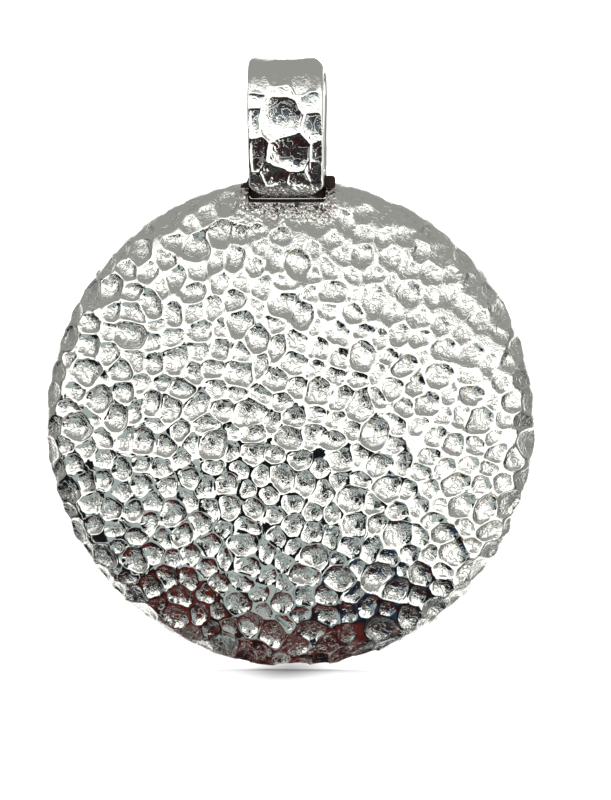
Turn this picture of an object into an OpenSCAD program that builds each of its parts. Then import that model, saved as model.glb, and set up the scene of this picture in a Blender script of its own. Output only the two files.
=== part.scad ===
// Hammered disc pendant: a domed, hammered disc that swings on a wide hammered bail.
// The origin is the inside of the bail's top, where a chain bears. The face looks towards -Y.
// Every length is in millimetres and every angle in degrees.

/* [Disc] */
// Diameter of the disc
disc_d = 50; // [46:1:54]
// Thickness of the sheet
wall = 1.3; // [1.1:0.1:1.4]
// Slope of the dome where it meets the turned edge
dome_slope = 16; // [14:1:18]
// Outer radius of the turned edge
edge_r = 3.3; // [3:0.1:3.6]

/* [Hammer marks] */
// Usual distance between two marks on the disc
pitch = 2.35; // [2.3:0.05:2.8]
// Radius of the hammer's ball face
ball_r = 2.3; // [2.1:0.1:3]
// Polished metal left between two marks
land = 0.1; // [0.1:0.05:0.4]

/* [Bail] */
// Width of the strap
bail_w = 7.7; // [6.6:0.1:7.8]
// Width of the strap's front where it curls under
foot_w = 5.3; // [4:0.1:6]
// Thickness of the strap
strap = 0.9; // [0.8:0.05:0.95]
// Inner radius of the top bend, over the chain
chain_r = 2.7; // [2.5:0.1:3]
// Inner radius of the bowed front and back
side_r = 30; // [26:1:40]
// Depth of the swinging bar's axis below the chain
bar_drop = 11.6; // [10:0.1:13]

/* [Swinging bar] */
// Radius of the round bar across the top of the disc
bar_r = 0.65; // [0.6:0.05:0.7]
// Play between the bar and the bail's bottom bend
play = 0.12; // [0.1:0.01:0.15]
// Gap on each side of the bail in the slot
slot_gap = 0.2; // [0.15:0.05:0.4]

/* [Hidden] */

silver = [0.78, 0.78, 0.76];

// The disc's own frame: X across, Y up, Z out of the face, with the back of the rim at Z = 0
crease = 8;                                     // turn from the dome to the edge, in degrees
edge_x = disc_d/2 - edge_r;                     // centre of the turned edge's arc
dome_r = (edge_x + edge_r*sin(dome_slope + crease))/sin(dome_slope);
dome_z = edge_r*cos(dome_slope + crease) - dome_r*cos(dome_slope);
shelf_x = edge_x + (edge_r - wall/2)*sin(dome_slope);
bar_inset = 0.4;                                // the bar's axis lies this far inside the outline
bar_out = 0.95;                                 // its right end stands this far out past the bail
bar_bevel = 0.35;
bar_y = disc_d/2 - bar_inset;                   // height of the bar's axis over the disc's centre
bar_z = 1.4;                                    // distance of the bar's axis from the back of the rim
slot_half = bail_w/2 + slot_gap;
slot_under = 0.13;                              // gap under the bail in the slot
slot_y = bar_y - bar_r - play - strap - slot_under;
slot_chamfer = 0.3;
lean = 4.67;                                    // the dome's weight tips the disc's foot back

// The marks are laid out on the face rolled flat, where a distance is one along the metal
dome_arc = dome_r*dome_slope*PI/180;            // from the centre to the crease
overrun = 1.85;                                 // the outermost marks lie this far past the crease
reach = dome_arc + overrun;
ring_step = pitch*sqrt(sin(60)/PI);             // spiral that gives each mark its share of metal
mark_count = round(pow(reach/ring_step, 2));
turn = 137.50776;                               // golden angle between two marks of the spiral
stray = 0.5;                                    // how far a mark starts off the spiral, in pitches
window = 90;                                    // marks this close in the list can be neighbours
settle_steps = 8;
settle_share = 0.4;                             // part of a crowded gap that one step makes good
mark_max = 1.3;                                 // largest radius of a mark
mark_fill = 0.97;                               // a mark's share of the space it has
ball_least = 0.9;                               // the ball's radius varies from mark to mark,
ball_spread = 0.3;                              // as shares of ball_r
plain_x = slot_half + 1.4;                      // no marks nearer the slot than this
plain_y = slot_y - 1.5;

// The bail, seen from the side: a drop shape round the chain and the bar. A bowed side is an arc
// that touches both bends, so its centre is found from its distances to theirs.
bend_r = bar_r + play;
span = bar_drop - chain_r;
top_reach = side_r - chain_r;
low_reach = side_r - bend_r;
side_high = 90 - acos((top_reach*top_reach + span*span - low_reach*low_reach)/(2*top_reach*span));
side_x = top_reach*cos(side_high);
side_y = -chain_r - top_reach*sin(side_high);
side_low = asin((bar_drop + side_y)/low_reach); // a side's face looks down this much at its foot
tuck = 0.02;                                    // the sides lie this far inside the bends' tangents
foot_chamfer = 1.25;
foot_rise = 0.1;

// Worn top corners of the strap: [which side, distance in from that side, depth below the top]
crown = [
    [-1, 0, 0.6], [-1, 0.4, 0.15], [-1, 1.9, -0.9],
    [1, 1.9, -0.15], [1, 0.8, 0.35], [1, 0.25, 0.95], [1, 0, 1.8]
];

bail_ball = 4.2;                                // radius of the hammer used on the bail
bail_mark = 0.92;                               // radius of a mark on the bail
mark_least = 0.85;                              // it varies from mark to mark,
mark_spread = 0.25;                             // as shares of bail_mark
bail_rows = 4;
bail_cols = 3;
bail_pitch = 2.45;
bail_stray = 0.3;                               // how far a mark lies off its place in a row
tilt_stray = 1;                                 // and a row's mark off its height, in degrees
row_start = 0.62;                               // the lowest row's place, in rows above the foot
top_row = 42;                                   // the last row's height on the top bend, in degrees

// A repeatable number from 0 to 1 that looks random
function chance(n) = ((n*n*n*31 + n*n*17 + n*101) % 65521)/65521;

// Starting place of mark i: a spiral, disturbed
function scattered(i) =
    let (r = ring_step*sqrt(i + 0.5), a = i*turn, k = stray*pitch)
    [r*cos(a) + k*(2*chance(2*i + 1) - 1), r*sin(a) + k*(2*chance(2*i + 2) - 1)];

function within(p, limit) = norm(p) > limit ? p*limit/norm(p) : p;

function vector_sum(list) = [for (v = list) 1]*list;

// Neighbours that crowd a mark push it away
function pushed(pts, i) =
    let (
        first = max(0, i - window),
        last = min(len(pts) - 1, i + window),
        pushes = [
            for (j = [first:last])
                let (d = pts[i] - pts[j], gap = norm(d))
                if (j != i && gap < pitch) d*(pitch/gap - 1)*settle_share
        ]
    )
    within(pts[i] + vector_sum(concat([[0, 0]], pushes)), reach);

function settled(pts, steps) =
    steps == 0 ? pts : settled([for (i = [0:len(pts) - 1]) pushed(pts, i)], steps - 1);

function nearest(pts, i) =
    min([
        for (j = [max(0, i - window):min(len(pts) - 1, i + window)])
            if (j != i) norm(pts[i] - pts[j])
    ]);

// Slope of the face at a distance along the metal from its centre
function slope_at(s) =
    s < dome_arc ? s/dome_r*180/PI : dome_slope + crease + (s - dome_arc)/edge_r*180/PI;

// The face's own outline there: distance from the axis, and height
function face_at(s) =
    let (a = slope_at(s))
    s < dome_arc
        ? [dome_r*sin(a), dome_z + dome_r*cos(a)]
        : [edge_x + edge_r*sin(a), edge_r*cos(a)];

function clear_of_slot(p) =
    let (q = p*face_at(norm(p))[0]/norm(p)) abs(q[0]) > plain_x || q[1] < plain_y;

// The section of everything under a face that lies inset below the true one
module bulk(inset) intersection() {
    translate([0, dome_z]) circle(dome_r - inset, $fn=360);
    union() {
        translate([edge_x, 0]) circle(edge_r - inset, $fn=96);
        translate([-1, -edge_r]) square([shelf_x + 1, dome_r]);
    }
}

module sheet() rotate_extrude($fn=180) intersection() {
    difference() {
        bulk(0);
        bulk(wall);
    }
    square([disc_d, dome_r]);
}

// A lens that cuts one ball mark of radius half into a face at Z = 0
module mark_cutter(half, ball) {
    sink = ball - sqrt(ball*ball - half*half);
    rotate_extrude($fn=36) intersection() {
        translate([0, ball - sink]) circle(ball, $fn=96);
        translate([0, -sink - 0.1]) square([half + 0.3, sink + 0.13]);
    }
}

module disc_marks() {
    pts = settled([for (i = [0:mark_count - 1]) scattered(i)], settle_steps);
    for (i = [0:len(pts) - 1])
        if (clear_of_slot(pts[i])) {
            s = norm(pts[i]);
            f = face_at(s);
            half = min(mark_max, mark_fill*nearest(pts, i)/2 - land/2);
            rotate([0, 0, atan2(pts[i][1], pts[i][0])])
                translate([f[0], 0, f[1]])
                    rotate([0, slope_at(s), 0])
                        mark_cutter(half, ball_r*(ball_least + ball_spread*chance(i + 3)));
        }
}

// The slot under the bar, open at the top until the bar closes it
module slot() linear_extrude(height=4*edge_r, center=true) polygon([
    [-slot_half, disc_d], [-slot_half, slot_y + slot_chamfer], [-slot_half + slot_chamfer, slot_y],
    [slot_half - slot_chamfer, slot_y], [slot_half, slot_y + slot_chamfer], [slot_half, disc_d]
]);

// The bar is filed flush with the outline on its left and stands out of it on its right
module bar() intersection() {
    bar_end = bail_w/2 + bar_out;
    translate([0, bar_y, bar_z]) rotate([0, 90, 0]) rotate_extrude($fn=48) polygon([
        [0, -disc_d/4], [bar_r, -disc_d/4], [bar_r, bar_end - bar_bevel],
        [bar_r - bar_bevel, bar_end], [0, bar_end]
    ]);
    union() {
        cylinder(h=disc_d, d=disc_d, center=true, $fn=180);
        translate([-bail_w/2, 0, -disc_d/2]) cube(disc_d);
    }
}

module disc() color(silver)
    translate([0, 0, -bar_drop]) rotate([90 + lean, 0, 0]) translate([0, -bar_y, -bar_z]) {
        difference() {
            sheet();
            slot();
            disc_marks();
        }
        bar();
    }

// The bail's outline from the side, grown outwards: X is the way to the back, Y is up
module drop_shape(grow) {
    high = -chain_r + (chain_r + grow)*sin(side_high);
    low = -bar_drop - (bend_r + grow)*sin(side_low);
    translate([0, -chain_r]) circle(chain_r + grow, $fn=120);
    translate([0, -bar_drop]) circle(bend_r + grow, $fn=72);
    intersection() {
        translate([side_x, side_y]) circle(side_r + grow - tuck, $fn=360);
        translate([-side_x, side_y]) circle(side_r + grow - tuck, $fn=360);
        translate([-side_r, low]) square([2*side_r, high - low]);
    }
}

// The strap bent round, with its top corners worn off and the front of its foot narrowed
module band() difference() {
    edge = bail_w/2;
    intersection() {
        rotate([90, 0, 90]) linear_extrude(height=bail_w, center=true) difference() {
            drop_shape(strap);
            drop_shape(0);
        }
        rotate([90, 0, 0]) linear_extrude(height=6*chain_r, center=true) polygon(concat(
            [[-edge, -2*bar_drop]],
            [for (c = crown) [c[0]*(edge - c[1]), strap - c[2]]],
            [[edge, -2*bar_drop]]
        ));
    }
    for (side = [0, 1]) mirror([side, 0, 0])
        rotate([90, 0, 0]) linear_extrude(height=3*chain_r) polygon([
            [foot_w/2, -2*bar_drop], [foot_w/2, -bar_drop - foot_chamfer], [edge, -bar_drop],
            [bail_w, -bar_drop + foot_rise], [bail_w, -2*bar_drop]
        ]);
}

// One face of the bail: rows of marks up the bowed side, then a row on the top bend
module side_marks(seed) {
    for (row = [0:bail_rows], col = [0:bail_cols - 1]) {
        n = seed + 2*(row*bail_cols + col);
        x = (col - (bail_cols - 1)/2)*bail_pitch + bail_stray*(chance(n) - 0.5);
        half = bail_mark*(mark_least + mark_spread*chance(n + 7));
        tilt = side_low - (side_low + side_high)*(row + row_start)/bail_rows;
        if (row < bail_rows)
            translate([0, side_x, side_y]) rotate([tilt + tilt_stray*(chance(n + 1) - 0.5), 0, 0])
                translate([x, tuck - side_r - strap, 0]) rotate([90, 0, 0]) mark_cutter(half, bail_ball);
        else
            translate([0, 0, -chain_r]) rotate([-top_row, 0, 0])
                translate([x, -chain_r - strap, 0]) rotate([90, 0, 0]) mark_cutter(half, bail_ball);
    }
}

module bail() color(silver) difference() {
    band();
    side_marks(11);
    rotate([0, 0, 180]) side_marks(47);
}

disc();
bail();
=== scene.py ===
"""Hammered disc pendant: its silver disc and bail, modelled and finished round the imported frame."""

import math

import bmesh
import bpy
import numpy as np
from bpy.props import FloatProperty, FloatVectorProperty, IntProperty, PointerProperty
from mathutils import Matrix, Vector


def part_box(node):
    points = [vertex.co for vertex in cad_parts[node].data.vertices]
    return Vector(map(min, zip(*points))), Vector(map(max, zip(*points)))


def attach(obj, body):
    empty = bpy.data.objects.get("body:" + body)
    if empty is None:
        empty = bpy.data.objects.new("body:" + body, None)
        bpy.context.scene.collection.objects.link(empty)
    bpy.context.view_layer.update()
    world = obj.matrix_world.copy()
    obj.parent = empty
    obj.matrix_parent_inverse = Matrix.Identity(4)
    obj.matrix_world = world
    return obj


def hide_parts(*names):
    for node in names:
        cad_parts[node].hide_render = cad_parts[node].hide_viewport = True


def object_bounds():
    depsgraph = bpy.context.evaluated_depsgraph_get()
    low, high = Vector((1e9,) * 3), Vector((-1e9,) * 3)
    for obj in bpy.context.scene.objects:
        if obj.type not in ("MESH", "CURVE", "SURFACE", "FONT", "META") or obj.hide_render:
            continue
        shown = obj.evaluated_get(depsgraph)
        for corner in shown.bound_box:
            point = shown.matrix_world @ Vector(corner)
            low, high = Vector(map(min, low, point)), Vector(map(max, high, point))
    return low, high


bl_info = {
    "name": "Hammered Disc Pendant",
    "version": (1, 0, 0),
    "blender": (4, 5, 0),
    "location": "View3D > Sidebar > Pendant",
    "description": "Builds a hammered silver disc pendant with its bail, and the studio round it",
    "category": "Object",
}

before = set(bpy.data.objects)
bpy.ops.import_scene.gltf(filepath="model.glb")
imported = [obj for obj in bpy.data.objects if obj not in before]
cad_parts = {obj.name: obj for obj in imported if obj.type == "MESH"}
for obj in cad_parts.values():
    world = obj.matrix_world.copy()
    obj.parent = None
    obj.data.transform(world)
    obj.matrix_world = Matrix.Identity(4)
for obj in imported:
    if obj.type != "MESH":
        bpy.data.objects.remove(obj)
CAD_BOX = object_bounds()

MM = 0.001
DISC_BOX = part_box("disc")
BAIL_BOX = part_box("bail")

# Sizes that part.scad derives from its named values, in millimetres and degrees
CREASE = 8.0  # turn from the dome to the edge
BAR_BACK = 1.4  # distance of the bar's axis from the back of the rim
BAR_STEP = 0.4  # distance of the bar's axis inside the disc's outline
BAR_OUT = 0.95  # how far the bar stands out of the bail on its right
LEAN = 4.67  # the dome's weight tips the disc's foot back
OVERRUN = 1.85  # the outermost marks lie this far past the crease
TURN = math.radians(137.50776)  # golden angle between two marks of the spiral
STRAY = 0.5  # how far a mark starts off the spiral, in pitches
WINDOW = 90  # marks this close in the list can be neighbours
SETTLE_STEPS = 8  # how often crowded marks push each other away
SETTLE_SHARE = 0.4  # part of a crowded gap that one step makes good

# The finished slot, in millimetres: a closer fit than the plain one
SLOT_GAP = 0.05  # gap on each side of the bail
SLOT_RISE = 0.01  # gap under the bail
SLOT_FLAT = 0.3  # half the level middle of its floor, in the sheet's thickness
SLOT_FALL = math.radians(12)  # how the floor falls away from there, to clear the swinging strap
SLOT_ROUND = 0.3  # radius of its lower corners

# The finished bar and marks, in millimetres
BAR_LEFT = -4.5  # where the bar's left end stops, about where the outline crosses its axis
BAR_ROUND = 0.35  # radius of its ends' edges
FILED = 0.1  # how far inside the disc's outline its left end is filed
MARK_REACH = 2.9  # a mark is worked out no further than this from its centre

# Sizes of the silver's fine relief, in millimetres
FOLD = 0.42  # distance between the folds in a mark's floor
FOLD_HEIGHT = 0.12
CREASED = 1.1  # distance between the creases across them
GRAIN = 0.38  # size of the grains round the bail's foot
GRAIN_HEIGHT = 0.22

WHITE_STRENGTH = 1.35  # of the white that the silver reflects
GROUND_STRENGTH = 2.0  # of the white that the camera and the pale floor see


def linear(hex_colour):
    """Linear RGB of an sRGB hex colour."""
    parts = (int(hex_colour[i : i + 2], 16) / 255 for i in (0, 2, 4))
    return tuple(c / 12.92 if c <= 0.04045 else ((c + 0.055) / 1.055) ** 2.4 for c in parts)


# Sizes and colours


def length_of(name, description, default):
    return FloatProperty(name=name, description=description, default=default, unit="LENGTH")


def angle_of(name, description, degrees):
    default = math.radians(degrees)
    return FloatProperty(name=name, description=description, default=default, subtype="ANGLE")


def colour_of(name, description, hex_colour):
    default = linear(hex_colour)
    return FloatVectorProperty(
        name=name, description=description, subtype="COLOR", default=default, min=0, max=1
    )


class DiscSizes(bpy.types.PropertyGroup):
    diameter: length_of("Diameter", "Diameter of the disc", DISC_BOX[1].x - DISC_BOX[0].x)
    wall: length_of("Sheet", "Thickness of the sheet", 1.3 * MM)
    edge: length_of("Turned edge", "Outer radius of the turned edge", 3.3 * MM)
    slope: angle_of("Dome slope", "Slope of the dome where it meets the turned edge", 16)
    pitch: length_of("Mark pitch", "Usual distance between two marks", 2.35 * MM)
    ball: length_of("Hammer ball", "Radius of the hammer's ball face", 2.3 * MM)
    land: length_of("Ridge", "Half the width of the polished metal between two marks", 0.07 * MM)
    flank: length_of("Flank", "Width of the steep flank inside a mark", 0.15 * MM)
    rise: length_of("Rise", "Height of the steep flank", 0.07 * MM)
    cells: IntProperty(name="Cells", description="Quads across the face", default=284)


class BailSizes(bpy.types.PropertyGroup):
    width: length_of("Width", "Width of the strap", BAIL_BOX[1].x - BAIL_BOX[0].x)
    foot: length_of("Foot width", "Width of the strap's front where it curls under", 3.8 * MM)
    strap: length_of("Strap", "Thickness of the strap", BAIL_BOX[1].z)
    chain: length_of("Chain bend", "Inner radius of the top bend", 2.7 * MM)
    drop: length_of("Bar drop", "Depth of the swinging bar's axis below the chain", 11.6 * MM)
    bar: length_of("Bar", "Radius of the bar", 0.65 * MM)
    play: length_of("Play", "Play between the bar and the bail's bottom bend", 0.12 * MM)
    side: length_of("Side bend", "Inner radius of the bowed front and back", 30 * MM)


class Finish(bpy.types.PropertyGroup):
    silver: colour_of("Silver", "Colour of the polished silver", "F5F5F2")
    # Also the colour of the painted shade in the crevices
    tarnish_and_shade: colour_of("Tarnish", "Colour of the silver where it has turned black", "2A211D")
    polish: FloatProperty(
        name="Polish", description="Roughness of the polished ridges", default=0.06, subtype="FACTOR"
    )


class Studio(bpy.types.PropertyGroup):
    azimuth: angle_of("Azimuth", "How far the camera stands to the pendant's right", 4)
    elevation: angle_of("Elevation", "How far the camera stands above the horizon", 1.5)
    lens: FloatProperty(name="Lens", description="Focal length in millimetres", default=180.0)
    height: length_of("Frame height", "Height of the camera's frame at the pendant", 81.2 * MM)
    white: colour_of("White", "Colour of the soft light round the pendant", "FFFFFB")
    ceiling: colour_of("Ceiling", "Colour of the grey card overhead", "9B9B98")
    table: colour_of("Table", "Colour of the table in front", "A6B1AF")
    cloth: colour_of("Cloth", "Colour of the dark cloth below", "5A2622")
    dark: colour_of("Dark", "Colour of the dark room behind the cloth", "14171A")


# Helpers


def deselect():
    if bpy.context.object and bpy.context.object.mode != "OBJECT":
        bpy.ops.object.mode_set(mode="OBJECT")
    bpy.ops.object.select_all(action="DESELECT")


def only(obj):
    deselect()
    obj.select_set(True)
    bpy.context.view_layer.objects.active = obj


def positions(mesh):
    co = np.empty(len(mesh.vertices) * 3)
    mesh.vertices.foreach_get("co", co)
    return co.reshape(-1, 3)


def place(mesh, co):
    mesh.vertices.foreach_set("co", np.ascontiguousarray(co, np.float32).ravel())
    mesh.update()


def mask(mesh, name, values):
    layer = mesh.attributes.new(name, "FLOAT", "POINT")
    layer.data.foreach_set("value", np.ascontiguousarray(values, np.float32))


def smooth(lo, hi, x):
    t = np.clip((x - lo) / (hi - lo), 0, 1)
    return t * t * (3 - 2 * t)


def lattice(ix, iy, seed):
    """A repeatable number from -1 to 1 for each whole place of a lattice."""
    n = (ix * 374761393 + iy * 668265263 + seed * 974711) & 0x7FFFFFFF
    n = (n ^ (n >> 13)) * 1274126177 & 0x7FFFFFFF
    return ((n ^ (n >> 16)) & 0xFFFFFF) / 0x7FFFFF - 1


def waves(u, v, size, seed):
    """Smooth random relief from -1 to 1 with bumps about size apart."""
    u, v = u / size, v / size
    iu, iv = np.floor(u).astype(np.int64), np.floor(v).astype(np.int64)
    fu, fv = u - iu, v - iv
    fu, fv = fu**3 * (fu * (6 * fu - 15) + 10), fv**3 * (fv * (6 * fv - 15) + 10)
    low = lattice(iu, iv, seed) * (1 - fu) + lattice(iu + 1, iv, seed) * fu
    high = lattice(iu, iv + 1, seed) * (1 - fu) + lattice(iu + 1, iv + 1, seed) * fu
    return low * (1 - fv) + high * fv


def chance(n):
    """The same repeatable number from 0 to 1 as in part.scad."""
    n = np.asarray(n, np.int64)
    return ((n * n * n * 31 + n * n * 17 + n * 101) % 65521) / 65521


def apply_modifier(obj, kind, **settings):
    modifier = obj.modifiers.new(kind.title(), kind)
    for name, value in settings.items():
        setattr(modifier, name, value)
    only(obj)
    bpy.ops.object.modifier_apply(modifier=modifier.name)


# The disc


def disc_frame(bail, disc):
    """From the disc's own frame to the pendant's: X across, Y up, Z out of the face."""
    axis = Vector((0, disc.diameter / 2 - BAR_STEP * MM, BAR_BACK * MM))
    return (
        Matrix.Translation((0, 0, -bail.drop))
        @ Matrix.Rotation(math.radians(90 + LEAN), 4, "X")
        @ Matrix.Translation(-axis)
    )


def face_section(disc):
    """The face's section from its centre to the rim: distance along the metal, radius, height and slope,
    and the distance at which the dome meets the turned edge. Lengths in mm."""
    r, edge, slope = disc.diameter / 2 / MM, disc.edge / MM, disc.slope
    edge_x = r - edge
    dome_r = (edge_x + edge * math.sin(slope + math.radians(CREASE))) / math.sin(slope)
    dome_arc = dome_r * slope
    s = np.linspace(0, dome_arc + edge * (math.pi / 2 - slope - math.radians(CREASE)), 4001)
    turned = slope + math.radians(CREASE) + (s - dome_arc) / edge
    blend = smooth(dome_arc - 0.7, dome_arc + 0.7, s)
    shoulder = slope * 1.2 * (s / dome_arc) ** 1.7
    a = shoulder * (1 - blend) + np.maximum(turned, 0) * blend
    a *= (math.pi / 2) / a[-1]
    step = s[1] - s[0]
    x = np.concatenate([[0], np.cumsum((np.cos(a[1:]) + np.cos(a[:-1])) / 2 * step)])
    z = -np.concatenate([[0], np.cumsum((np.sin(a[1:]) + np.sin(a[:-1])) / 2 * step)])
    return s, x * r / x[-1], z - z[-1], a, dome_arc


def mark_centres(disc, dome_arc):
    """The hammer marks' places on the face rolled flat, by the rule of part.scad."""
    pitch = disc.pitch / MM
    reach = dome_arc + OVERRUN
    ring = pitch * math.sqrt(math.sin(math.radians(60)) / math.pi)
    i = np.arange(round((reach / ring) ** 2))
    r, a, k = ring * np.sqrt(i + 0.5), i * TURN, STRAY * pitch
    pts = np.stack(
        [
            r * np.cos(a) + k * (2 * chance(2 * i + 1) - 1),
            r * np.sin(a) + k * (2 * chance(2 * i + 2) - 1),
        ],
        1,
    )
    near = np.abs(i[:, None] - i[None]) <= WINDOW
    np.fill_diagonal(near, False)
    for _ in range(SETTLE_STEPS):
        d = pts[:, None] - pts[None]
        gap = np.linalg.norm(d, axis=2)
        crowded = (pitch / np.maximum(gap, 1e-9) - 1) * SETTLE_SHARE
        push = np.where(near & (gap < pitch), crowded, 0)
        pts = pts + (d * push[..., None]).sum(1)
        far = np.linalg.norm(pts, axis=1)
        pts *= np.minimum(1, reach / far)[:, None]
    return pts


def struck(u, v, marks, land, flank, rise, corner):
    """A face struck by ball marks, each its centre, half width, depth, turn and length. Gives each place's
    depth, how far it is into a mark's gritty floor, its distance from the nearest ridge, and the way
    from it. Lengths in mm."""
    ranks = np.zeros((3, 3, len(u)))
    order = np.argsort(v)
    sv = v[order]
    for x, y, half, sink, turn, long in marks:
        lo, hi = np.searchsorted(sv, [y - MARK_REACH, y + MARK_REACH])
        idx = order[lo:hi]
        idx = idx[np.abs(u[idx] - x) < MARK_REACH]
        du, dv = u[idx] - x, v[idx] - y
        c, s, k = math.cos(turn), math.sin(turn), math.sqrt(long)
        p, q = (du * c + dv * s) / k, (dv * c - du * s) * k
        steep = -2 * sink / half**2
        here = np.stack(
            [
                sink * (1 - (p * p + q * q) / half**2),
                steep * (p * c / k - q * s * k),
                steep * (p * s / k + q * c * k),
            ]
        )
        for rank in ranks:
            held = rank[:, idx]
            better = here[0] > held[0]
            rank[:, idx] = np.where(better, here, held)
            here = np.where(better, held, here)
    first, second, third = ranks

    def to_ridge(other):
        gap = first - other
        steepness = np.maximum(np.hypot(gap[1], gap[2]), 1e-6)
        return gap / steepness

    near, nu, nv = to_ridge(second)
    next_near = to_ridge(third)[0]
    away = np.maximum(near - corner * np.exp(-(next_near - near) / corner), 0)
    crest = np.clip(first[0] - (first[1] * nu + first[2] * nv) * near, 0, first[0])
    inside = smooth(land * 0.6, land + flank, away)
    depth = crest + (first[0] - crest) * inside + rise * smooth(land, land + flank, away)
    return depth, smooth(land + 0.5 * flank, land + 1.6 * flank, away), near, nu, nv


def gathered(u, v, away, nu, nv, reach):
    """Moves the mesh's points towards the nearest ridge, where the shape needs them."""
    near = np.minimum(away, reach)
    shift = near - reach * (near / reach) ** 1.5
    return u - nu * shift, v - nv * shift


def wandering(u, v, size, far, seed):
    """Places moved a little, so that outlines wander."""
    wu = u + far * waves(u, v, size, seed) + 0.35 * far * waves(u, v, size * 0.4, seed + 1)
    wv = v + far * waves(u, v, size, seed + 2) + 0.35 * far * waves(u, v, size * 0.4, seed + 3)
    return wu, wv


def disc_marks(disc, centres, bare):
    """The marks of the disc's face, narrower and shallower on the upper rim. bare says where none lie."""
    n = np.arange(len(centres))
    x, y = centres[:, 0], centres[:, 1]
    ball = disc.ball / MM * (1.1 + 1.1 * chance(n + 3))
    half = 1.4 + 0.7 * chance(n * 5 + 11) ** 2
    sink = half * half / (2 * ball)
    on_rim = smooth(25.2, 26.6, np.hypot(x, y)) * (0.05 + 0.95 * smooth(-16, 4, y))
    half, sink = half * (1 - 0.25 * on_rim), sink * (1 - 0.7 * on_rim)
    turn, long = chance(n * 7 + 2) * math.pi, 1 + 0.3 * chance(n * 3 + 5)
    marks = np.stack([x, y, half, sink, turn, long], 1)
    return marks[[not bare(cx, cy) for cx, cy in centres]]


def build_disc(disc, bail):
    s, x, z, a, dome_arc = face_section(disc)
    radius = disc.diameter / 2 / MM
    bail_half = bail.width / 2 / MM
    slot_half = bail_half + SLOT_GAP
    bar_y = radius - BAR_STEP
    slot_y = bar_y - (bail.bar + bail.play + bail.strap) / MM - SLOT_RISE

    deselect()
    bpy.ops.mesh.primitive_grid_add(x_subdivisions=disc.cells, y_subdivisions=disc.cells, size=2)
    obj = bpy.context.object
    obj.name = obj.data.name = "hammered_disc"
    mesh = obj.data
    flat = positions(mesh)
    # Each square ring of the grid becomes a round one
    p, q = flat[:, 0], flat[:, 1]
    wide = np.abs(p) >= np.abs(q)
    ring = np.where(wide, p, q)
    with np.errstate(divide="ignore", invalid="ignore"):
        phi = np.where(wide, math.pi / 4 * q / p, math.pi / 2 - math.pi / 4 * p / q)
    phi = np.nan_to_num(phi)
    arc = np.abs(ring) * s[-1]
    sign = np.sign(ring)
    cu, su = np.cos(phi) * sign, np.sin(phi) * sign
    u, v = arc * cu, arc * su

    centres = mark_centres(disc, dome_arc)
    # One more row of marks, on the turned edge itself
    count = round(2 * math.pi * radius / (disc.pitch / MM * 1.08))
    k = np.arange(count)
    around = (k + 0.7 * (chance(k * 3 + 1) - 0.5)) * 2 * math.pi / count
    off = dome_arc + 3.5 + 0.6 * (chance(k * 5 + 2) - 0.5)
    centres = np.concatenate([centres, np.stack([off * np.cos(around), off * np.sin(around)], 1)])

    def bare(cx, cy):
        return abs(cx) < slot_half + 1.2 and cy > slot_y - 1.2

    marks = disc_marks(disc, centres, bare)

    def face(u, v):
        wide = waves(u, v, 4.0, 40)
        soft = smooth(6, 17, v + 0.5 * u)
        lower_left = smooth(-2, -12, v + 0.6 * u)
        land = disc.land / MM * (1 + 0.5 * wide + 0.4 * soft + 1.9 * lower_left)
        flank = disc.flank / MM * (1 + 1.2 * soft)
        rise = disc.rise / MM * (1 + 0.3 * waves(u, v, 3.0, 41) - 0.35 * soft)
        edge = smooth(25.0, 26.6, np.hypot(u, v))
        rise = rise * (1 - 0.5 * edge)
        return struck(*wandering(u, v, 1.6, 0.16, 3), marks, land, flank, rise, 0.3)

    _, _, away, nu, nv = face(u, v)
    hold = smooth(s[-1] - 0.5, s[-1] - 1.2, arc)
    u, v = gathered(u, v, away * hold, nu, nv, 1.15)
    arc = np.hypot(u, v)
    far = np.maximum(arc, 1e-9)
    cu, su = u / far, v / far
    depth, worked = face(u, v)[:2]
    foot = smooth(slot_half + 2.2, slot_half, np.abs(u)) * smooth(slot_y - 2.6, slot_y - 0.6, v)
    depth = depth + worked * (0.03 * waves(u, v, 1.1, 8) + 0.012 * waves(u, v, 0.5, 9))
    depth = depth + foot * (0.05 + 0.03 * waves(u, v, 0.55, 12) + 0.02 * waves(u, v, 0.3, 13))
    depth = depth + 0.05 * (1 + waves(u, v, 7.0, 14))
    rr, zz, aa = (np.interp(arc, s, k) for k in (x, z, a))
    out = rr - depth * np.sin(aa)
    co = np.stack([out * cu, out * su, zz - depth * np.cos(aa)], 1)
    place(mesh, co * MM)
    gritty = 0.5 * np.maximum(smooth(10, 21, v + 0.5 * u), smooth(24.0, 26.0, arc))
    gritty = np.maximum(gritty, smooth(22.5, 24.5, arc) * smooth(-8, -16, v))
    mask(mesh, "worked", np.maximum(worked, gritty))
    mask(mesh, "foot", foot)
    mask(mesh, "soot_and_shade", np.zeros(len(co)))

    # The rim's flat back and the inside of the dome, ring by ring
    wall = disc.wall / MM
    inner = [
        (
            np.interp(t, s, x) - wall * math.sin(np.interp(t, s, a)),
            np.interp(t, s, z) - wall * math.cos(np.interp(t, s, a)),
        )
        for t in s[-1] * np.array([0.97, 0.93, 0.9, 0.85, 0.74, 0.56, 0.36, 0.12])
    ]
    rings = [(radius - 0.03, 0), (radius - 0.16, 0), (radius - wall + 0.2, 0), (radius - wall, 0.12)]
    rings += [(r, max(h, 0.14)) for r, h in inner]
    only(obj)
    bpy.ops.object.mode_set(mode="EDIT")
    bpy.ops.mesh.select_mode(type="EDGE")
    bpy.ops.mesh.select_all(action="DESELECT")
    bpy.ops.mesh.select_non_manifold()
    for level, (r, h) in enumerate(rings):
        bpy.ops.mesh.extrude_region()
        bm = bmesh.from_edit_mesh(mesh)
        worked_layer = bm.verts.layers.float["worked"]
        foot_layer = bm.verts.layers.float["foot"]
        for vert in bm.verts:
            if vert.select:
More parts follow.
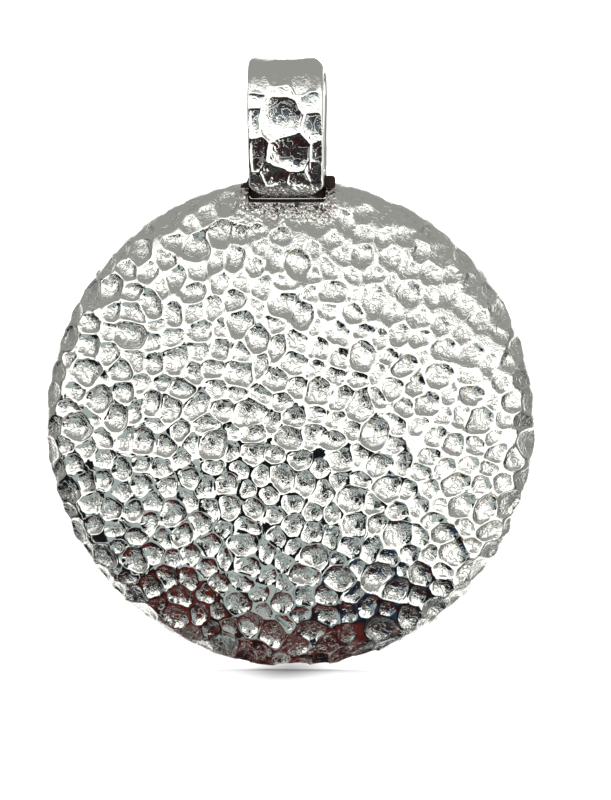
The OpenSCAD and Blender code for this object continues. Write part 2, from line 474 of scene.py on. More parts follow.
                # The first two rings keep the wandering outline of the face
                away = math.hypot(vert.co.x, vert.co.y)
                if level == 0:
                    now = (min(away / MM, r) - 0.03) * MM
                elif level == 1:
                    now = away - 0.13 * MM
                else:
                    now = r * MM
                vert.co.x *= now / away
                vert.co.y *= now / away
                vert.co.z = h * MM
                vert[worked_layer] = 0.35
                vert[foot_layer] = 0.0
        bmesh.update_edit_mesh(mesh)
    bpy.ops.mesh.edge_face_add()
    bpy.ops.mesh.poke()
    bpy.ops.mesh.select_all(action="SELECT")
    bpy.ops.mesh.normals_make_consistent(inside=False)
    bpy.ops.object.mode_set(mode="OBJECT")

    # The slot, with its lower corners eased and its floor falling away to the front and the back
    high = 12.0  # the cutter reaches well past the rim
    for side in (0, 1, -1):
        deselect()
        bpy.ops.mesh.primitive_cube_add(size=1, location=(0, (slot_y + high / 2) * MM, 2 * MM))
        cutter = bpy.context.object
        cutter.scale = (2 * slot_half * MM, high * MM, high * MM)
        bpy.ops.object.transform_apply(location=True, rotation=True, scale=True)
        bpy.ops.object.mode_set(mode="EDIT")
        bm = bmesh.from_edit_mesh(cutter.data)
        for e in bm.edges:
            a0, a1 = (w.co for w in e.verts)
            e.select = abs(a0.z - a1.z) > MM and max(a0.y, a1.y) < slot_y * MM + 1e-6
        bpy.ops.mesh.bevel(offset=SLOT_ROUND * MM, segments=5)
        bpy.ops.object.mode_set(mode="OBJECT")
        pivot = Matrix.Translation((0, slot_y * MM, (BAR_BACK + side * SLOT_FLAT) * MM))
        cutter.data.transform(pivot @ Matrix.Rotation(side * SLOT_FALL, 4, "X") @ pivot.inverted())
        apply_modifier(obj, "BOOLEAN", object=cutter, operation="DIFFERENCE", solver="EXACT")
        bpy.data.objects.remove(cutter)

    # The bar, filed flush with the outline on its left and rounded where it stands out
    deselect()
    left, right = BAR_LEFT, bail_half + BAR_OUT
    bpy.ops.mesh.primitive_cylinder_add(
        vertices=48,
        radius=bail.bar,
        depth=(right - left) * MM,
        end_fill_type="NGON",
        location=((left + right) / 2 * MM, bar_y * MM, BAR_BACK * MM),
        rotation=(0, math.pi / 2, 0),
    )
    bar = bpy.context.object
    bpy.ops.object.transform_apply(location=True, rotation=True, scale=True)
    bpy.ops.object.mode_set(mode="EDIT")
    bm = bmesh.from_edit_mesh(bar.data)
    for e in bm.edges:
        e.select = all(w.co.x > (right - 0.01) * MM for w in e.verts) or all(
            w.co.x < (left + 0.01) * MM for w in e.verts
        )
    bpy.ops.mesh.bevel(offset=BAR_ROUND * MM, segments=6)
    bpy.ops.mesh.select_all(action="SELECT")
    bpy.ops.mesh.bisect(plane_co=(-bail.width / 2, 0, 0), plane_no=(1, 0, 0))
    bpy.ops.object.mode_set(mode="OBJECT")
    co = positions(bar.data)
    out = np.hypot(co[:, 0], co[:, 1])
    filed_r = disc.diameter / 2 - FILED * MM
    filed = (co[:, 0] < -bail.width / 2 - 1e-6) & (out > filed_r)
    co[filed, 1] = np.sqrt(filed_r**2 - co[filed, 0] ** 2)
    place(bar.data, co)
    apply_modifier(obj, "BOOLEAN", object=bar, operation="UNION", solver="EXACT")
    bpy.data.objects.remove(bar)

    # The slot's walls and the bar are black: soot and painted crevice shade
    co = positions(mesh) / MM
    fall = math.tan(SLOT_FALL) * np.maximum(np.abs(co[:, 2] - BAR_BACK) - SLOT_FLAT, 0)
    walls = (np.abs(co[:, 0]) < slot_half + 0.01) & (co[:, 1] > slot_y - fall - 0.01)
    rod = np.hypot(co[:, 1] - bar_y, co[:, 2] - BAR_BACK) < bail.bar / MM + 0.01
    black = walls | (rod & (np.abs(co[:, 0]) < right + 0.01))
    for name in ("worked", "foot", "soot_and_shade"):
        layer = mesh.attributes[name].data
        values = np.empty(len(co), np.float32)
        layer.foreach_get("value", values)
        values[black] = 1.0
        layer.foreach_set("value", values)
    only(obj)
    bpy.ops.object.shade_smooth_by_angle(angle=math.radians(62))
    bm = bmesh.new()
    bm.from_mesh(mesh)
    for e in bm.edges:
        if black[e.verts[0].index] and black[e.verts[1].index]:
            e.smooth = all(black[w.index] for f in e.link_faces for w in f.verts)
    bm.to_mesh(mesh)
    bm.free()
    obj.data.transform(disc_frame(bail, disc))
    return obj


# The bail


def build_bail(bail):
    chain, bend = bail.chain / MM, (bail.bar + bail.play) / MM
    drop, half = bail.drop / MM, bail.strap / MM / 2
    side_r = bail.side / MM
    # Each bowed side is an arc that touches the top and the bottom bend
    span, top_reach, low_reach = drop - chain, side_r - chain, side_r - bend
    high = math.pi / 2 - math.acos((top_reach**2 + span**2 - low_reach**2) / (2 * top_reach * span))
    side_y, side_z = -top_reach * math.cos(high), -chain - top_reach * math.sin(high)
    low = math.asin((drop + side_z) / low_reach)
    # The middle line, from the bottom up the back, over the top and down the front
    arcs = (
        (0, -drop, bend + half, -math.pi / 2, -low, 80),
        (side_y, side_z, side_r + half, -low, high, 400),
        (0, -chain, chain + half, high, math.pi / 2, 160),
    )
    halfway = []
    for cy, cz, r, start, end, count in arcs:
        t = np.linspace(start, end, count, endpoint=False)
        halfway.append(np.stack([cy + r * np.cos(t), cz + r * np.sin(t)], 1))
    halfway = np.concatenate(halfway)
    line = np.concatenate([halfway, [[0, half]], halfway[:0:-1] * [-1, 1]])
    steps = np.linalg.norm(np.diff(np.concatenate([line, line[:1]]), axis=0), axis=1)
    dist = np.concatenate([[0], np.cumsum(steps)])
    length = dist[-1]
    closed = np.concatenate([line, line[:1]])

    major, minor = 300, 132
    deselect()
    bpy.ops.mesh.primitive_torus_add(
        major_segments=major, minor_segments=minor, major_radius=4 * MM, minor_radius=1 * MM
    )
    obj = bpy.context.object
    obj.name = obj.data.name = "hammered_bail"
    mesh = obj.data
    co = positions(mesh) / MM
    turn = np.round(np.arctan2(co[:, 1], co[:, 0]) / (2 * math.pi) * major).astype(int) % major
    away = np.hypot(co[:, 0], co[:, 1]) - 4
    lap = np.round(np.arctan2(co[:, 2], away) / (2 * math.pi) * minor).astype(int) % minor
    along = turn / major * length

    def on_line(where, axis):
        return np.interp(where % length, dist, closed[:, axis])

    cy, cz = on_line(along, 0), on_line(along, 1)
    nudge = 0.02
    ty, tz = (on_line(along + nudge, axis) - on_line(along - nudge, axis) for axis in (0, 1))
    norm = np.hypot(ty, tz)
    ty, tz = ty / norm, tz / norm
    ny, nz = tz, -ty  # the line runs up the back (+Y), so this points outwards

    # The strap's section: a flat strip with rounded edges; most of the points are on the outer face
    w = bail.width / MM / 2
    corner = 0.3
    outer = 84
    left = minor - outer
    round_n = 8
    inner = left - 2 * round_n
    sx, sn = np.empty(minor), np.empty(minor)
    sx[:outer] = np.linspace(-w + corner, w - corner, outer)
    sn[:outer] = half
    turn_a = np.linspace(0, math.pi, round_n + 2)[1:-1]
    sx[outer : outer + round_n] = w - corner + corner * np.sin(turn_a)
    rounded = corner * np.cos(turn_a)
    sn[outer : outer + round_n] = np.where(
        turn_a < math.pi / 2, half - corner + rounded, -half + corner + rounded
    )
    sx[outer + round_n : outer + round_n + inner] = np.linspace(w - corner, -w + corner, inner)
    sn[outer + round_n : outer + round_n + inner] = -half
    sx[outer + round_n + inner :] = -(w - corner + corner * np.sin(turn_a))
    sn[outer + round_n + inner :] = sn[outer : outer + round_n][::-1]
    X, N = sx[lap], sn[lap]

    # The foot narrows at the front where it curls under
    foot_half = bail.foot / MM / 2
    under_bar = np.clip((-drop - cz) / (bend + half), 0, 1)
    narrow = under_bar**2.5 * smooth(0.05, -0.45, ny)
    X = X * (1 - narrow * (1 - foot_half / w))

    # Hammer marks on the outer face
    u, v = X, along
    top = len(line) // 2
    marks = bail_marks(length, lambda z: np.interp(-z, -closed[top:, 1], dist[top:]))
    depth, worked = struck(*wandering(u, v, 1.5, 0.15, 21), marks, 0.04, 0.12, 0.03, 0.06)[:2]
    depth = np.maximum(depth - 0.14, 0)
    outer_face = smooth(half - 0.12, half - 0.02, N)
    edge = smooth(w, w - 0.5, np.abs(sx[lap]))
    above_foot = smooth(-drop - 1.0, -drop + 0.2, cz)
    N = N - outer_face * (depth * (0.35 + 0.65 * edge) * above_foot + 0.01)
    N = N - outer_face * 0.015 * (1 + waves(u, v, 2.2, 31)) * above_foot
    # The back is filed thinner above the bend, where the disc's slot comes up against it as it swings
    swept = smooth(-drop - 0.7, -drop, cz) * smooth(-drop + 3.1, -drop + 1.9, cz)
    N = N - 0.2 * smooth(-half, half, N) * smooth(0, 0.3, ny) * swept
    ripple = 0.04 * (1 + waves(v, 5 * np.sign(X), 1.7, 33))
    X = X - np.sign(X) * above_foot * ripple * smooth(w - 0.8, w, np.abs(X))
    y, z = cy + N * ny, cz + N * nz
    # Its top corners are worn off, the right one more
    worn = np.clip((z + 0.9) / 1.8, 0, 1)
    right_cap = w - 1.7 * (1 - np.sqrt(1 - worn**2))
    left_cap = w - 0.5 * np.clip((z - 0.2) / 0.7, 0, 1) ** 2
    X = np.clip(X, -left_cap, right_cap)
    place(mesh, np.stack([X, y, z], 1) * MM)
    crumpled = (0.2 + 0.17 * smooth(-9, -6.5, z)) * smooth(0.9, -1.5, z)
    mask(mesh, "worked", crumpled * worked * outer_face)
    low_down = smooth(-drop + 0.2, -drop - 1.3, cz)
    hidden = np.maximum(1 - outer_face, smooth(-0.2, 0.2, ny))
    mask(mesh, "foot", np.maximum(low_down, hidden * smooth(-drop + 2.2, -drop + 0.6, cz)))
    # Soot and painted shade: black on the curled underside and on the hidden inner face near the bar, and a
    # little black low down
    curled = smooth(-0.5, -0.15, ny) * smooth(-drop, -drop - 0.3, cz)
    soot_and_shade = np.maximum(0.15 * low_down, hidden * smooth(-drop + 1.2, -drop + 0.2, cz))
    mask(mesh, "soot_and_shade", np.maximum(soot_and_shade, curled))
    only(obj)
    bpy.ops.object.mode_set(mode="EDIT")
    bpy.ops.mesh.select_all(action="SELECT")
    bpy.ops.mesh.normals_make_consistent(inside=False)
    bpy.ops.object.mode_set(mode="OBJECT")
    bpy.ops.object.shade_smooth_by_angle(angle=math.radians(75))
    return obj


# The facets of the bail's front: place across, height and half width in mm, and how much taller than
# wide each is
FRONT_FACETS = (
    (-2.0, 0.4, 1.2, 0.8),
    (0.6, 0.5, 1.3, 0.8),
    (2.7, -0.3, 1.1, 1.0),
    (-2.7, -2.2, 1.1, 0.9),
    (-0.5, -1.3, 1.2, 0.8),
    (1.9, -2.1, 1.3, 0.7),
    (-0.4, -3.2, 1.2, 0.7),
    (-2.9, -3.6, 1.1, 0.8),
    (2.3, -3.9, 1.3, 0.9),
    (-2.9, -5.8, 1.4, 1.5),
    (-0.5, -5.6, 2.1, 1.0),
    (2.6, -6.3, 1.5, 1.3),
    (-2.8, -8.8, 1.5, 1.6),
    (0.2, -8.6, 2.0, 0.9),
    (3.1, -8.7, 1.3, 1.3),
    (-1.3, -10.7, 1.5, 0.9),
    (2.6, -10.4, 1.2, 1.2),
    (1.0, -11.3, 1.3, 0.8),
    (-2.8, -11.4, 1.2, 1.0),
    (2.8, -12.1, 1.1, 1.0),
    (-0.6, -12.5, 1.3, 0.8),
)


def bail_marks(length, down):
    """The bail's large facets: its front's own, and three to a row up its back. down gives the place
    along the strap of a height at the front."""
    pitch, cols = 2.35, 3
    rows = round(length / 2 / pitch)
    marks = []
    for n, (x, z, half, tall) in enumerate(FRONT_FACETS):
        half = 1.4 * half
        sink = half**2 / (2 * (3.6 + 1.3 * half))
        marks.append((x, float(down(z)), half, sink, math.pi / 2 + 0.5 * (chance(n * 3 + 4) - 0.5), tall))
    for row in range(rows):
        for col in range(cols):
            n = 17 + row * cols + col
            x = (col - 1) * pitch + 1.3 * (chance(n) - 0.5) + (0.5 if row % 2 else -0.5)
            y = (row + 0.5) * length / 2 / rows + 1.4 * (chance(n + 50) - 0.5)
            half = 1.9 + 0.35 * chance(n + 130)
            sink = half**2 / (2 * (5.0 + 2.0 * chance(n + 90)))
            marks.append((x, y, half, sink, math.pi * chance(n + 9), 1 + 0.3 * chance(n + 5)))
    # The first rows come again past the last
    return marks + [(x, y + length, *rest) for x, y, *rest in marks if y < 3]


# The finish


def add(tree, kind, links=(), **settings):
    """Adds a node, sets its properties and sockets by name or number, and links (socket, source) pairs."""
    node = tree.nodes.new(kind)
    for name, value in settings.items():
        if name.startswith("in_"):
            key = name[3:]
            node.inputs[int(key) if key.isdigit() else key.replace("_", " ")].default_value = value
        else:
            setattr(node, name, value)
    for socket, source in links:
        tree.links.new(source, node.inputs[socket])
    return node


def blank(name):
    """A new material and its empty node tree."""
    mat = bpy.data.materials.new(name)
    mat.use_nodes = True
    mat.node_tree.nodes.clear()
    return mat, mat.node_tree


def hammered_silver(finish):
    """Sterling silver struck with a ball hammer and tumbled: bright ridges, gritty floors, and black in the
    crevices, soot and painted shade."""
    mat, tree = blank("hammered_silver")
    here = add(tree, "ShaderNodeTexCoord").outputs["Object"]
    worked, foot, soot_and_shade = (
        add(tree, "ShaderNodeAttribute", attribute_name=name).outputs["Fac"]
        for name in ("worked", "foot", "soot_and_shade")
    )
    # The floor of each mark is crumpled by the hammer's rough face, in fine folds
    folds = add(
        tree, "ShaderNodeTexNoise", [("Vector", here)],
        in_Scale=1 / (FOLD * MM), in_Detail=2.0, in_Roughness=0.6, in_Distortion=0.5,
    ).outputs["Fac"]
    # and by creases between them
    coarse = add(
        tree, "ShaderNodeTexNoise", [("Vector", here)],
        in_Scale=1 / (CREASED * MM), in_Detail=2.0, in_Roughness=0.55, in_Distortion=0.9,
    ).outputs["Fac"]
    off = add(tree, "ShaderNodeMath", [(0, coarse)], operation="SUBTRACT", in_1=0.5).outputs[0]
    off = add(tree, "ShaderNodeMath", [(0, off)], operation="ABSOLUTE").outputs[0]
    creases = add(
        tree, "ShaderNodeMapRange", [("Value", off)],
        interpolation_type="SMOOTHSTEP", in_From_Max=0.035, in_To_Max=0.3,
    ).outputs["Result"]
    relief = add(
        tree, "ShaderNodeMath", [(0, folds), (2, creases)], operation="MULTIPLY_ADD", in_1=0.62
    ).outputs[0]
    # Filings and solder round the bail's foot leave round grains
    grains = add(
        tree, "ShaderNodeTexVoronoi", [("Vector", here)], in_Scale=1 / (GRAIN * MM), feature="F1"
    ).outputs["Distance"]
    crumple = add(
        tree, "ShaderNodeBump", [("Height", relief), ("Strength", worked)],
        in_Distance=FOLD_HEIGHT * MM,
    ).outputs["Normal"]
    bump = add(
        tree, "ShaderNodeBump", [("Height", grains), ("Strength", foot), ("Normal", crumple)],
        in_Distance=GRAIN_HEIGHT * MM, invert=True,
    ).outputs["Normal"]
    rough = add(
        tree, "ShaderNodeMapRange", [("Value", worked)], in_To_Min=finish.polish, in_To_Max=0.14
    ).outputs["Result"]
    # Black round the foot: soot and painted shade in the crevices, and tarnish in a few pits between the
    # grains
    pits = add(tree, "ShaderNodeMath", [(0, foot), (1, folds)], operation="MULTIPLY").outputs[0]
    pits = add(
        tree, "ShaderNodeMapRange", [("Value", pits)], in_From_Min=0.5, in_From_Max=0.6, in_To_Max=0.9
    ).outputs["Result"]
    black = add(tree, "ShaderNodeMath", [(0, pits), (1, soot_and_shade)], operation="MAXIMUM").outputs[0]
    brown = add(
        tree, "ShaderNodeMapRange", [("Value", coarse)],
        in_From_Min=0.5, in_From_Max=0.62, in_To_Max=0.5,
    ).outputs["Result"]
    brown = add(tree, "ShaderNodeMath", [(0, brown), (1, foot)], operation="MULTIPLY").outputs[0]
    warm = add(
        tree, "ShaderNodeMix", [("Factor", brown)],
        data_type="RGBA", in_6=(*finish.silver, 1), in_7=(*linear("A5786A"), 1),
    ).outputs[2]
    colour = add(
        tree, "ShaderNodeMix", [("Factor", black), (6, warm)], data_type="RGBA", in_7=(*finish.tarnish_and_shade, 1)
    ).outputs[2]
    # Soot and painted shade are dull, and no metal
    dull = add(tree, "ShaderNodeMath", [(0, soot_and_shade)], operation="MULTIPLY", in_1=0.85).outputs[0]
    rough = add(tree, "ShaderNodeMath", [(0, rough), (1, dull)], operation="MAXIMUM").outputs[0]
    bare = add(tree, "ShaderNodeMath", [(1, soot_and_shade)], operation="SUBTRACT", in_0=1.0).outputs[0]
    gloss = add(tree, "ShaderNodeMath", [(0, bare)], operation="MULTIPLY", in_1=0.5).outputs[0]
    shader = add(
        tree,
        "ShaderNodeBsdfPrincipled",
        [
            ("Base Color", colour), ("Normal", bump), ("Roughness", rough),
            ("Metallic", bare), ("Specular IOR Level", gloss),
        ],
    )
    add(tree, "ShaderNodeOutputMaterial", [("Surface", shader.outputs["BSDF"])])
    return mat


def dress(obj, material, node, body):
    obj.data.materials.clear()
    obj.data.materials.append(material)
    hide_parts(node)
    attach(obj, body)


# The studio


def lay(tree, colour, spans, soft, tint, wobble, unit):
    """Lays a soft-edged patch of a tint over a colour. Each span is a value, its centre and half width."""
    masks = []
    for value, centre, half in spans:
        off = add(
            tree, "ShaderNodeMath", [(0, value)], operation="SUBTRACT", in_1=centre * unit
        ).outputs[0]
        off = add(tree, "ShaderNodeMath", [(0, off)], operation="ABSOLUTE").outputs[0]
        off = add(
            tree, "ShaderNodeMath", [(0, wobble), (2, off)], operation="MULTIPLY_ADD", in_1=3 * soft * unit
        ).outputs[0]
        inside = add(
            tree, "ShaderNodeMapRange", [("Value", off)], interpolation_type="SMOOTHSTEP",
            in_From_Min=(half + 2.5 * soft) * unit, in_From_Max=(half + 0.5 * soft) * unit,
        ).outputs["Result"]
        masks.append(inside)
    both = add(tree, "ShaderNodeMath", list(enumerate(masks)), operation="MULTIPLY").outputs[0]
    mix = add(tree, "ShaderNodeMix", [("Factor", both)], data_type="RGBA", in_7=(*tint, 1))
    if isinstance(colour, tuple):
        mix.inputs[6].default_value = (*colour, 1)
    else:
        tree.links.new(colour, mix.inputs[6])
    return mix.outputs[2]


def flat_card(name, subdivisions, size, shape):
    """A flat grid of the stage, moved and stretched by a matrix."""
    deselect()
    bpy.ops.mesh.primitive_grid_add(x_subdivisions=subdivisions, y_subdivisions=subdivisions, size=size)
    obj = bpy.context.object
    obj.name = obj.data.name = name
    obj.data.transform(shape)
    return obj


def reflected_only(obj, mat):
    """Shows a stage card only where the silver reflects it."""
    obj.data.materials.append(mat)
    obj.visible_camera = obj.visible_diffuse = obj.visible_shadow = False


def build_world(studio):
    world = bpy.data.worlds.new("studio")
    bpy.context.scene.world = world
    world.use_nodes = True
    world.cycles.sampling_method = "NONE"
    tree = world.node_tree
    tree.nodes.clear()
    way = add(tree, "ShaderNodeTexCoord").outputs["Generated"]
    parts = add(tree, "ShaderNodeSeparateXYZ", [("Vector", way)]).outputs
    up = add(tree, "ShaderNodeMath", [(0, parts["Z"])], operation="ARCSINE").outputs[0]
    front = add(tree, "ShaderNodeMath", [(0, parts["Y"])], operation="MULTIPLY", in_1=-1.0).outputs[0]
    across = add(tree, "ShaderNodeMath", [(0, parts["X"]), (1, front)], operation="ARCTAN2").outputs[0]
    wobble = add(tree, "ShaderNodeTexNoise", [("Vector", way)], in_Scale=3.0, in_Detail=2.0).outputs["Fac"]
    # Everything is white except the grey side walls and ceiling, the table and the dark below it. Each card
    # is its centre across and half its width, its centre's rise and half its height, and the softness of
    # its edge, all in degrees, and its tint
    wall = linear("8A8A88")
    cards = (
        (-93, 32, 0, 89, 6, wall),
        (92, 34, 0, 89, 6, wall),
        (-72, 4, 0, 60, 3, studio.dark),
        (76, 4, 0, 60, 3, studio.dark),
        (0, 300, 68, 46, 9, studio.ceiling),
        (38, 21, 25, 21, 6, studio.ceiling),
        (-20, 30, -33, 19, 3, studio.table),
        (30, 22, -62, 12, 4, linear("77745A")),
        (-42, 9, -22, 14, 3, studio.dark),
        (-80, 26, -42, 26, 4, studio.dark),
        (-30, 26, -66, 14, 3, studio.dark),
        (9, 5, -44, 5, 2, linear("1B2A3C")),
    )
    colour = tuple(c * WHITE_STRENGTH for c in studio.white)
    for side, half_side, rise, half_rise, soft, tint in cards:
        spans = ((across, side, half_side), (up, rise, half_rise))
        colour = lay(tree, colour, spans, soft, tint, wobble, math.radians(1))
    seen = add(tree, "ShaderNodeLightPath").outputs
    plain = add(
        tree, "ShaderNodeMath", [(0, seen["Is Camera Ray"]), (1, seen["Is Diffuse Ray"])],
        operation="MAXIMUM",
    ).outputs[0]
    mix = add(
        tree, "ShaderNodeMix", [("Factor", plain), (6, colour)],
        data_type="RGBA", in_7=(*[GROUND_STRENGTH] * 3, 1),
    )
    light = add(tree, "ShaderNodeBackground", [("Color", mix.outputs[2])])
    add(tree, "ShaderNodeOutputWorld", [("Surface", light.outputs["Background"])])


def pale_floor():
    """Matt white card: the pale ground under the pendant, with a painted soft shadow under the disc's foot.
    """
    mat, tree = blank("white_card")
    here = add(tree, "ShaderNodeTexCoord").outputs["Object"]
    # About the painted shadow's half width and half depth, and its middle, in millimetres
    wide, deep, middle_x, middle_y = 5.5, 18, -0.3, 5
    near = add(
        tree, "ShaderNodeVectorMath", [(0, here)], operation="MULTIPLY_ADD",
        in_1=(1 / (wide * MM), 1 / (deep * MM), 0), in_2=(-middle_x / wide, -middle_y / deep, 0),
    ).outputs[0]
    near = add(tree, "ShaderNodeVectorMath", [(0, near)], operation="LENGTH").outputs["Value"]
    shade = add(
        tree, "ShaderNodeMapRange", [("Value", near)], interpolation_type="SMOOTHSTEP",
        in_From_Min=0.0, in_From_Max=1.1, in_To_Min=0.38, in_To_Max=0.9,
    ).outputs["Result"]
    shader = add(
        tree, "ShaderNodeBsdfPrincipled", [("Base Color", shade)],
        in_Roughness=0.9, in_Specular_IOR_Level=0.0,
    )
    add(tree, "ShaderNodeOutputMaterial", [("Surface", shader.outputs["BSDF"])])
    floor = flat_card("floor", 4, 6, Matrix.Translation((0, 0, CAD_BOX[0].z - 0.0002)))
    floor.data.materials.append(mat)
    floor.visible_glossy = False


def table_edge(studio):
    """The table close in front of the pendant, with a red cloth on it, seen only in the silver."""
    mat, tree = blank("table_edge")
    here = add(tree, "ShaderNodeTexCoord").outputs["Object"]
    parts = add(tree, "ShaderNodeSeparateXYZ", [("Vector", here)]).outputs
    wobble = add(
        tree, "ShaderNodeTexNoise", [("Vector", here)], in_Scale=1 / (12 * MM), in_Detail=2.0
    ).outputs["Fac"]

    def patch(colour, x, half_x, y, half_y, soft, tint):
        """Lays a patch of a tint over the colour so far, centred at x and y, in millimetres."""
        spans = ((parts["X"], x, half_x), (parts["Y"], y, half_y))
        return lay(tree, colour, spans, soft, tint, wobble, MM)

    cloth, table_top = tuple(studio.cloth), tuple(studio.table)
    fold = tuple(c * 0.3 for c in cloth)
    colour = tuple(studio.dark)
    for laid in (
        (-14, 3, -7, 30, 1, cloth),
        (-18, 1.5, -7, 30, 1, fold),
        (-9.5, 0.8, -7, 30, 1, fold),
        (-3.5, 4, -7, 30, 1, table_top),
        (-6, 1, 0, 3, 0.7, cloth),
        (-1, 1, 1, 2.5, 0.7, cloth),
        (4, 2, -9, 3, 1, table_top),
        (10, 2.5, -8, 3, 1, linear("26364F")),
        (6.5, 2, 0, 3.5, 0.7, cloth),
        (12.5, 2, 0, 3.5, 0.7, fold),
        (-2, 4.5, 2, 4, 0.7, cloth),
        (5, 3, 2, 3.5, 0.7, cloth),
    ):
        colour = patch(colour, *laid)
    # Close to the rim the cloth is creased and stained, dark here and pale there
    creased = add(
        tree, "ShaderNodeTexNoise", [("Vector", here)],
        in_Scale=1 / (1.8 * MM), in_Detail=3.0, in_Roughness=0.65,
    ).outputs["Fac"]
    close = add(
        tree, "ShaderNodeMapRange", [("Value", parts["Y"])], in_From_Min=-2 * MM, in_From_Max=1 * MM
    ).outputs["Result"]
    for start, full, tint in ((0.48, 0.45, studio.dark), (0.56, 0.59, studio.table)):
        spot = add(
            tree, "ShaderNodeMapRange", [("Value", creased)], in_From_Min=start, in_From_Max=full
        ).outputs["Result"]
        spot = add(tree, "ShaderNodeMath", [(0, spot), (1, close)], operation="MULTIPLY").outputs[0]
        colour = add(
            tree, "ShaderNodeMix", [("Factor", spot), (6, colour)], data_type="RGBA", in_7=(*tint, 1)
        ).outputs[2]
    # White card under the lower left of the rim
    colour = patch(colour, -15, 9, 7.5, 2.5, 0.5, (1.0, 0.97, 0.97))
    glow = add(tree, "ShaderNodeEmission", [("Color", colour)], in_Strength=1.0)
    add(tree, "ShaderNodeOutputMaterial", [("Surface", glow.outputs["Emission"])])
    place_at = Matrix.Translation((-0.002, -0.0035, CAD_BOX[0].z - 0.0001))
    table = flat_card("table_edge", 2, 1, place_at @ Matrix.Diagonal((0.042, 0.019, 1, 1)))
    reflected_only(table, mat)


def dark_things(studio):
    """The dark lens before the pendant, and the dark edge of the table that the bail's foot reflects."""
    mat, tree = blank("dark_lens")
    glow = add(tree, "ShaderNodeEmission", in_Color=(*studio.dark, 1), in_Strength=1.0)
    add(tree, "ShaderNodeOutputMaterial", [("Surface", glow.outputs["Emission"])])
    deselect()
    bpy.ops.mesh.primitive_uv_sphere_add(segments=32, ring_count=16, radius=13 * MM)
    lens = bpy.context.object
    lens.name = lens.data.name = "lens"
    lens.data.transform(Matrix.Translation((-0.003, -0.040, -0.055)))
    reflected_only(lens, mat)

    mat, tree = blank("dark_edge")
    here = add(tree, "ShaderNodeTexCoord").outputs["Object"]
    patches = add(
        tree, "ShaderNodeTexNoise", [("Vector", here)], in_Scale=1 / (6 * MM), in_Detail=2.0
    ).outputs["Fac"]
    tone = add(tree, "ShaderNodeValToRGB", [("Fac", patches)])
    ramp = tone.color_ramp.elements
    ramp[0].position, ramp[0].color = 0.40, (*studio.dark, 1)
    ramp[1].position, ramp[1].color = 0.46, (*linear("4A2421"), 1)
    for position, colour in ((0.52, "1E2630"), (0.58, "2B3028"), (0.66, "7C827C")):
        ramp.new(position).color = (*linear(colour), 1)
    # Its far side is in a blue-grey light
    away = add(tree, "ShaderNodeSeparateXYZ", [("Vector", here)]).outputs["Y"]
    near = add(
        tree, "ShaderNodeMapRange", [("Value", away)], in_From_Min=-0.040, in_From_Max=-0.028
    ).outputs["Result"]
    tone = add(
        tree, "ShaderNodeMix", [("Factor", near), (7, tone.outputs["Color"])],
        data_type="RGBA", in_6=(*linear("5A6872"), 1),
    )
    glow = add(tree, "ShaderNodeEmission", [("Color", tone.outputs[2])], in_Strength=1.0)
    # Only its upper side is dark
    clear = add(tree, "ShaderNodeBsdfTransparent")
    behind = add(tree, "ShaderNodeNewGeometry").outputs["Backfacing"]
    side = add(
        tree, "ShaderNodeMixShader",
        [(0, behind), (1, glow.outputs["Emission"]), (2, clear.outputs["BSDF"])],
    )
    add(tree, "ShaderNodeOutputMaterial", [("Surface", side.outputs["Shader"])])
    place_at = Matrix.Translation((-0.007, -0.032, -0.019))
    edge = flat_card("dark_edge", 2, 1, place_at @ Matrix.Diagonal((0.022, 0.048, 1, 1)))
    reflected_only(edge, mat)


def build_camera(studio, disc, bail):
    centre = disc_frame(bail, disc) @ Vector((0, 0, 0))
    a, e = studio.azimuth, studio.elevation
    back = Vector((math.sin(a) * math.cos(e), -math.cos(a) * math.cos(e), math.sin(e)))
    right = Vector((math.cos(a), math.sin(a), 0))
    upward = back.cross(right)
    # The photo's middle, from the disc's centre
    target = centre + right * 1.56 * MM + upward * 2.4 * MM
    bpy.ops.object.camera_add()
    cam = bpy.context.object
    cam.name = "camera"
    cam.data.lens = studio.lens
    distance = studio.height * studio.lens / cam.data.sensor_width
    cam.location = target + back * distance
    cam.rotation_mode = "QUATERNION"
    cam.rotation_quaternion = back.to_track_quat("Z", "Y")
    cam.data.clip_start, cam.data.clip_end = 0.01, 20
    bpy.context.scene.camera = cam


# The add-on


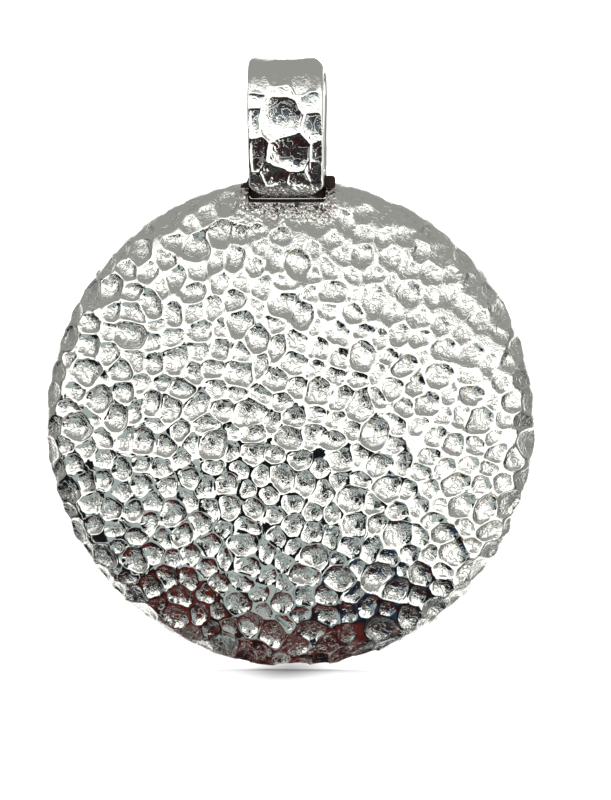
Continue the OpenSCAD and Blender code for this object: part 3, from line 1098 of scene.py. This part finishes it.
class PENDANT_OT_studio(bpy.types.Operator):
    """Set up the camera, the soft light and the pale floor"""

    bl_idname = "pendant.studio"
    bl_label = "Studio"

    def execute(self, context):
        scene = context.scene
        build_world(scene.pendant_studio)
        pale_floor()
        table_edge(scene.pendant_studio)
        dark_things(scene.pendant_studio)
        build_camera(scene.pendant_studio, scene.pendant_disc, scene.pendant_bail)
        scene.view_settings.view_transform = "Standard"
        scene.view_settings.look = "None"
        return {"FINISHED"}


class PENDANT_OT_disc(bpy.types.Operator):
    """Build the domed, hammered disc with its slot and bar"""

    bl_idname = "pendant.disc"
    bl_label = "Disc"

    def execute(self, context):
        scene = context.scene
        obj = build_disc(scene.pendant_disc, scene.pendant_bail)
        dress(obj, hammered_silver(scene.pendant_finish), "disc", "disc")
        return {"FINISHED"}


class PENDANT_OT_bail(bpy.types.Operator):
    """Build the hammered bail"""

    bl_idname = "pendant.bail"
    bl_label = "Bail"

    def execute(self, context):
        scene = context.scene
        obj = build_bail(scene.pendant_bail)
        dress(obj, hammered_silver(scene.pendant_finish), "bail", "bail")
        return {"FINISHED"}


class PENDANT_PT_panel(bpy.types.Panel):
    """Sizes, finish and steps of the pendant"""

    bl_label = "Hammered Disc Pendant"
    bl_space_type = "VIEW_3D"
    bl_region_type = "UI"
    bl_category = "Pendant"

    def draw(self, context):
        for group in GROUPS:
            box = self.layout.box()
            settings = getattr(context.scene, group)
            for name in settings.__annotations__:
                box.prop(settings, name)
        for step in STEPS:
            self.layout.operator(step.bl_idname)


GROUPS = {
    "pendant_disc": DiscSizes,
    "pendant_bail": BailSizes,
    "pendant_finish": Finish,
    "pendant_studio": Studio,
}
STEPS = (PENDANT_OT_studio, PENDANT_OT_disc, PENDANT_OT_bail)


def register():
    for cls in (*GROUPS.values(), *STEPS, PENDANT_PT_panel):
        bpy.utils.register_class(cls)
    for name, group in GROUPS.items():
        setattr(bpy.types.Scene, name, PointerProperty(type=group))


def unregister():
    for name in GROUPS:
        delattr(bpy.types.Scene, name)
    for cls in reversed((*GROUPS.values(), *STEPS, PENDANT_PT_panel)):
        bpy.utils.unregister_class(cls)


def main():
    register()
    bpy.ops.pendant.studio()
    bpy.ops.pendant.disc()
    bpy.ops.pendant.bail()


if __name__ == "__main__":
    main()
